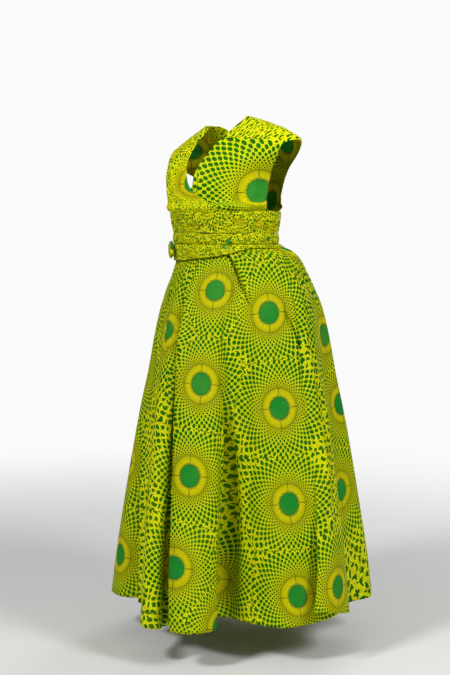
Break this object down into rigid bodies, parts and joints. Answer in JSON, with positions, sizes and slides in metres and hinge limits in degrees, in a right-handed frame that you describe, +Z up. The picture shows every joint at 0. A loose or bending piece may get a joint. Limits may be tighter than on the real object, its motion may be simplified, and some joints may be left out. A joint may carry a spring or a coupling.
{
  "type": "maxi dress",
  "caption": "Sleeveless wax print maxi dress in its worn form: crossed wide straps, deep V neck, wound sash with a side knot, full gathered skirt.",
  "frame": {"origin": "the middle of the base of the neck at shoulder height, where the wearer's shoulders hold the dress up", "axes": "+Z up along the body, -Y the way the wearer faces, +X the wearer's left"},
  "size_m": [0.7563, 0.7907, 1.3544],
  "materials": {
    "wax_print": "crisp printed cotton, matte with a faint sheen"
  },
  "bodies": {
    "root": {"skirt_front": "wax_print", "skirt_back": "wax_print", "waistband": "wax_print", "strap_left": "wax_print", "strap_right": "wax_print", "sash_upper": "wax_print", "sash_middle": "wax_print", "sash_lower": "wax_print", "sash_knot": "wax_print"}
  },
  "joints": []
}
